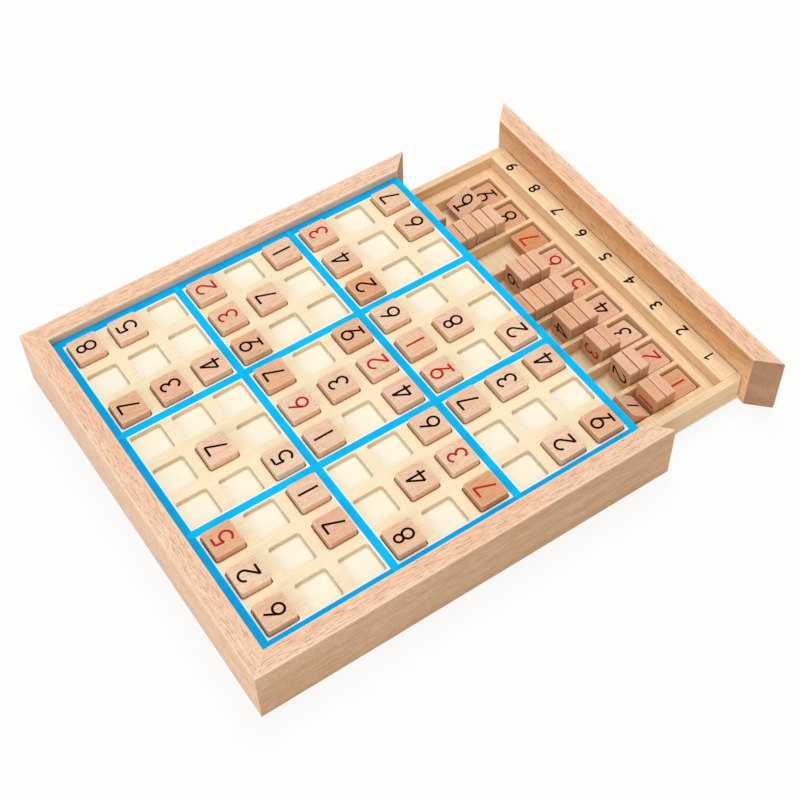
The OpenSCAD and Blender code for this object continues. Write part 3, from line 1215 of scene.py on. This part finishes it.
# %% Lying tiles
RED_LYING = {1, 2, 5, 6, 7}
LEAN_LOW = Matrix.Rotation(math.radians(-29), 4, "Y")
LEAN_HIGH = Matrix.Rotation(math.radians(38), 4, "Y")
TIPPED = Matrix.Rotation(math.radians(-8), 4, "X")
HALF_TURN = Matrix.Rotation(math.radians(180), 4, "Z")
TILTS = {1: LEAN_HIGH, 3: TIPPED, 9: LEAN_LOW @ HALF_TURN}
TILTED_H = 1.2 * TILE_T
LYING_TONES = {
    1: (0.75, 0.0), 2: (0.4, 0.5), 3: (0.07, 0.4), 4: (0.3, 0.6), 5: (0.5, 0.3),
    6: (0.2, 0.6), 7: (1.0, 0.0), 8: (0.6, 0.6), 9: (0.62, 0.2),
}
LEANING_TONE = (0.25, 0.5)
SINK = Matrix.Translation((0, 0, -TILE_T / 2))


def stored_tile(name, centre, number, ink, turn, tone, blush):
    """A stored tile with its middle at a point."""
    return copy_tile(name, number, ink, Matrix.Translation(centre) @ turn @ SINK, tone, blush)


def compartment(centre):
    """Number of the compartment that holds a point."""
    return round(centre.y / POCKET_PITCH) + MIDDLE


lying_tiles = []
for count, (centre, size) in enumerate(lying):
    number = compartment(centre)
    ink = RED_INK if number in RED_LYING else BLACK_INK
    turn = Matrix.Identity(4)
    tone = LYING_TONES[number]
    if size.z > TILTED_H:
        ink = BLACK_INK
        turn = TILTS[number]
        tone = tone if turn == TIPPED else LEANING_TONE
    lying_tiles.append(stored_tile(f"lying_{count}", centre, number, ink, turn, *tone))
settle(joined("lying_tiles", lying_tiles), None, "drawer", "tile_wood", "stored_tiles_lying")

# %% [markdown]
# ## Tiles that stand in the drawer
# Behind the lying tiles the others stand on edge in rows. The rows are loose: each tile is a little thinner
# than its place, and slips, turns and leans by a small random amount.

# %% Standing tiles
RED_STANDING = {1, 3}
ON_EDGE = Matrix.Rotation(math.radians(-90), 4, "Y")
QUARTER_TURN = Matrix.Rotation(math.radians(90), 4, "Z")
ROW_THIN = Matrix.Diagonal((0.94, 1, 1, 1))
ROW_SLIP = 0.6 * MM
ROW_SKEW = math.radians(0.8)
ROW_LEAN = math.radians(1.2)
ROW_TONE = (0.1, 0.5)
ROW_BLUSH = (0.2, 0.8)

standing_tiles = []
for count, (centre, size) in enumerate(standing):
    number = compartment(centre)
    ink = RED_INK if number in RED_STANDING else BLACK_INK
    tone = random.uniform(*ROW_TONE), random.uniform(*ROW_BLUSH)
    slip = Vector((0, random.uniform(0.0, ROW_SLIP), 0))
    skew = Matrix.Rotation(random.uniform(-ROW_SKEW, ROW_SKEW), 4, "Z")
    lean = Matrix.Rotation(random.uniform(-ROW_LEAN, ROW_LEAN), 4, "Y")
    turn = skew @ lean @ ROW_THIN @ ON_EDGE @ QUARTER_TURN
    standing_tiles.append(stored_tile(f"standing_{count}", centre + slip, number, ink, turn, *tone))
settle(joined("standing_tiles", standing_tiles), None, "drawer", "tile_wood", "stored_tiles_standing")

for model in numbered.values():
    bpy.data.objects.remove(model)

# %% [markdown]
# ## Panels that stay as they are
# The base sheet, the bottom panel and the guides are plain flat boards whose solids need no shaping. They
# keep their solids and only get a wood finish.

# %% Panels
for node, material in (("board_base", IVORY), ("bottom_panel", PANEL), ("drawer_guides", PANEL)):
    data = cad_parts[node].data
    data.materials.clear()
    data.materials.append(material)
    print(node, "has", material.name)

# %% [markdown]
# ## Studio floor
# The photograph is a product shot on pure white. The floor is a wide sheet of white paper that still takes a
# soft shadow: its own colour is mixed with a white light that lights nothing, because only the camera, gloss
# and glass see it. Away from the box that light takes over, so no horizon shows.

# %% Floor
FLOOR_SIDE = 40.0
FLOOR_GAP = 0.1 * MM
FLOOR_GLOW = 0.88
FADE_NEAR = 0.25
FADE_FAR = 0.9
PURE_WHITE = (1, 1, 1, 1)


def seen_rays(tree):
    """1 for the rays that show the background: camera, glossy and transmission rays."""
    rays = add_node(tree, "LightPath").outputs
    seen = rays["Is Camera Ray"]
    for name in ("Is Glossy Ray", "Is Transmission Ray"):
        seen = combine(tree, "MAXIMUM", seen, rays[name])
    return seen


bpy.ops.object.select_all(action="DESELECT")
bpy.ops.mesh.primitive_plane_add(size=FLOOR_SIDE, location=(0, 0, -FLOOR_GAP))
floor = bpy.context.object
floor.name = "studio_floor"
paper, tree, shader = new_material("white_paper")
shader.inputs["Base Color"].default_value = srgb((246, 246, 246))
shader.inputs["Roughness"].default_value = 0.9
shader.inputs["Specular IOR Level"].default_value = 0.0
glow = add_node(tree, "Emission", Color=PURE_WHITE, Strength=1.0)
distance = add_node(tree, "VectorMath", {"operation": "LENGTH"}, Vector=object_place(tree))
share = span(tree, distance.outputs["Value"], FADE_NEAR, FADE_FAR, FLOOR_GLOW, 1.0)
blend = add_node(tree, "MixShader", Fac=combine(tree, "MULTIPLY", seen_rays(tree), share))
tree.links.new(shader.outputs[0], blend.inputs[1])
tree.links.new(glow.outputs[0], blend.inputs[2])
tree.links.new(blend.outputs[0], tree.nodes["Material Output"].inputs["Surface"])
floor.data.materials.append(paper)
print("floor", floor.dimensions.x, "m wide")

# %% [markdown]
# ## World and lamps
# A pale warm world fills the shade, and is white to the camera. A large soft lamp, high beyond the drawer's
# far corner, lights the tops and leaves a thin shade on the near sides of the tiles. A low one at the near
# left brightens the outer faces of the box.

# %% World and lamps
WORLD_LEVEL = 0.42
WORLD_TINT = (1.0, 0.985, 0.955, 1.0)
LAMP_FAR = 2.0
AIM = Vector((0.03, 0, 0.02))

world = bpy.data.worlds.new("studio_world")
world.use_nodes = True
bpy.context.scene.world = world
tree = world.node_tree
surround = tree.nodes["Background"]
seen = seen_rays(tree)
fill(tree, surround.inputs["Color"], mix(tree, seen, WORLD_TINT, PURE_WHITE))
fill(tree, surround.inputs["Strength"], span(tree, seen, 0.0, 1.0, WORLD_LEVEL, 1.0))


def lamp(name, height, side, watts, width):
    """A square soft lamp, so many degrees above the floor and so many from the -X side towards +Y."""
    height, side = math.radians(height), math.radians(side)
    flat = math.cos(height)
    place = AIM + LAMP_FAR * Vector((-flat * math.cos(side), flat * math.sin(side), math.sin(height)))
    bpy.ops.object.select_all(action="DESELECT")
    bpy.ops.object.light_add(type="AREA", location=place)
    light = bpy.context.object
    light.name = name
    light.data.energy = watts
    light.data.size = width
    light.rotation_euler = (AIM - place).to_track_quat("-Z", "Y").to_euler()
    print(name, watts, "W")


lamp("top_lamp", height=72, side=135, watts=20.8, width=1.1)
lamp("side_lamp", height=22, side=-34, watts=14.4, width=1.5)
bpy.context.scene.view_settings.view_transform = "Standard"
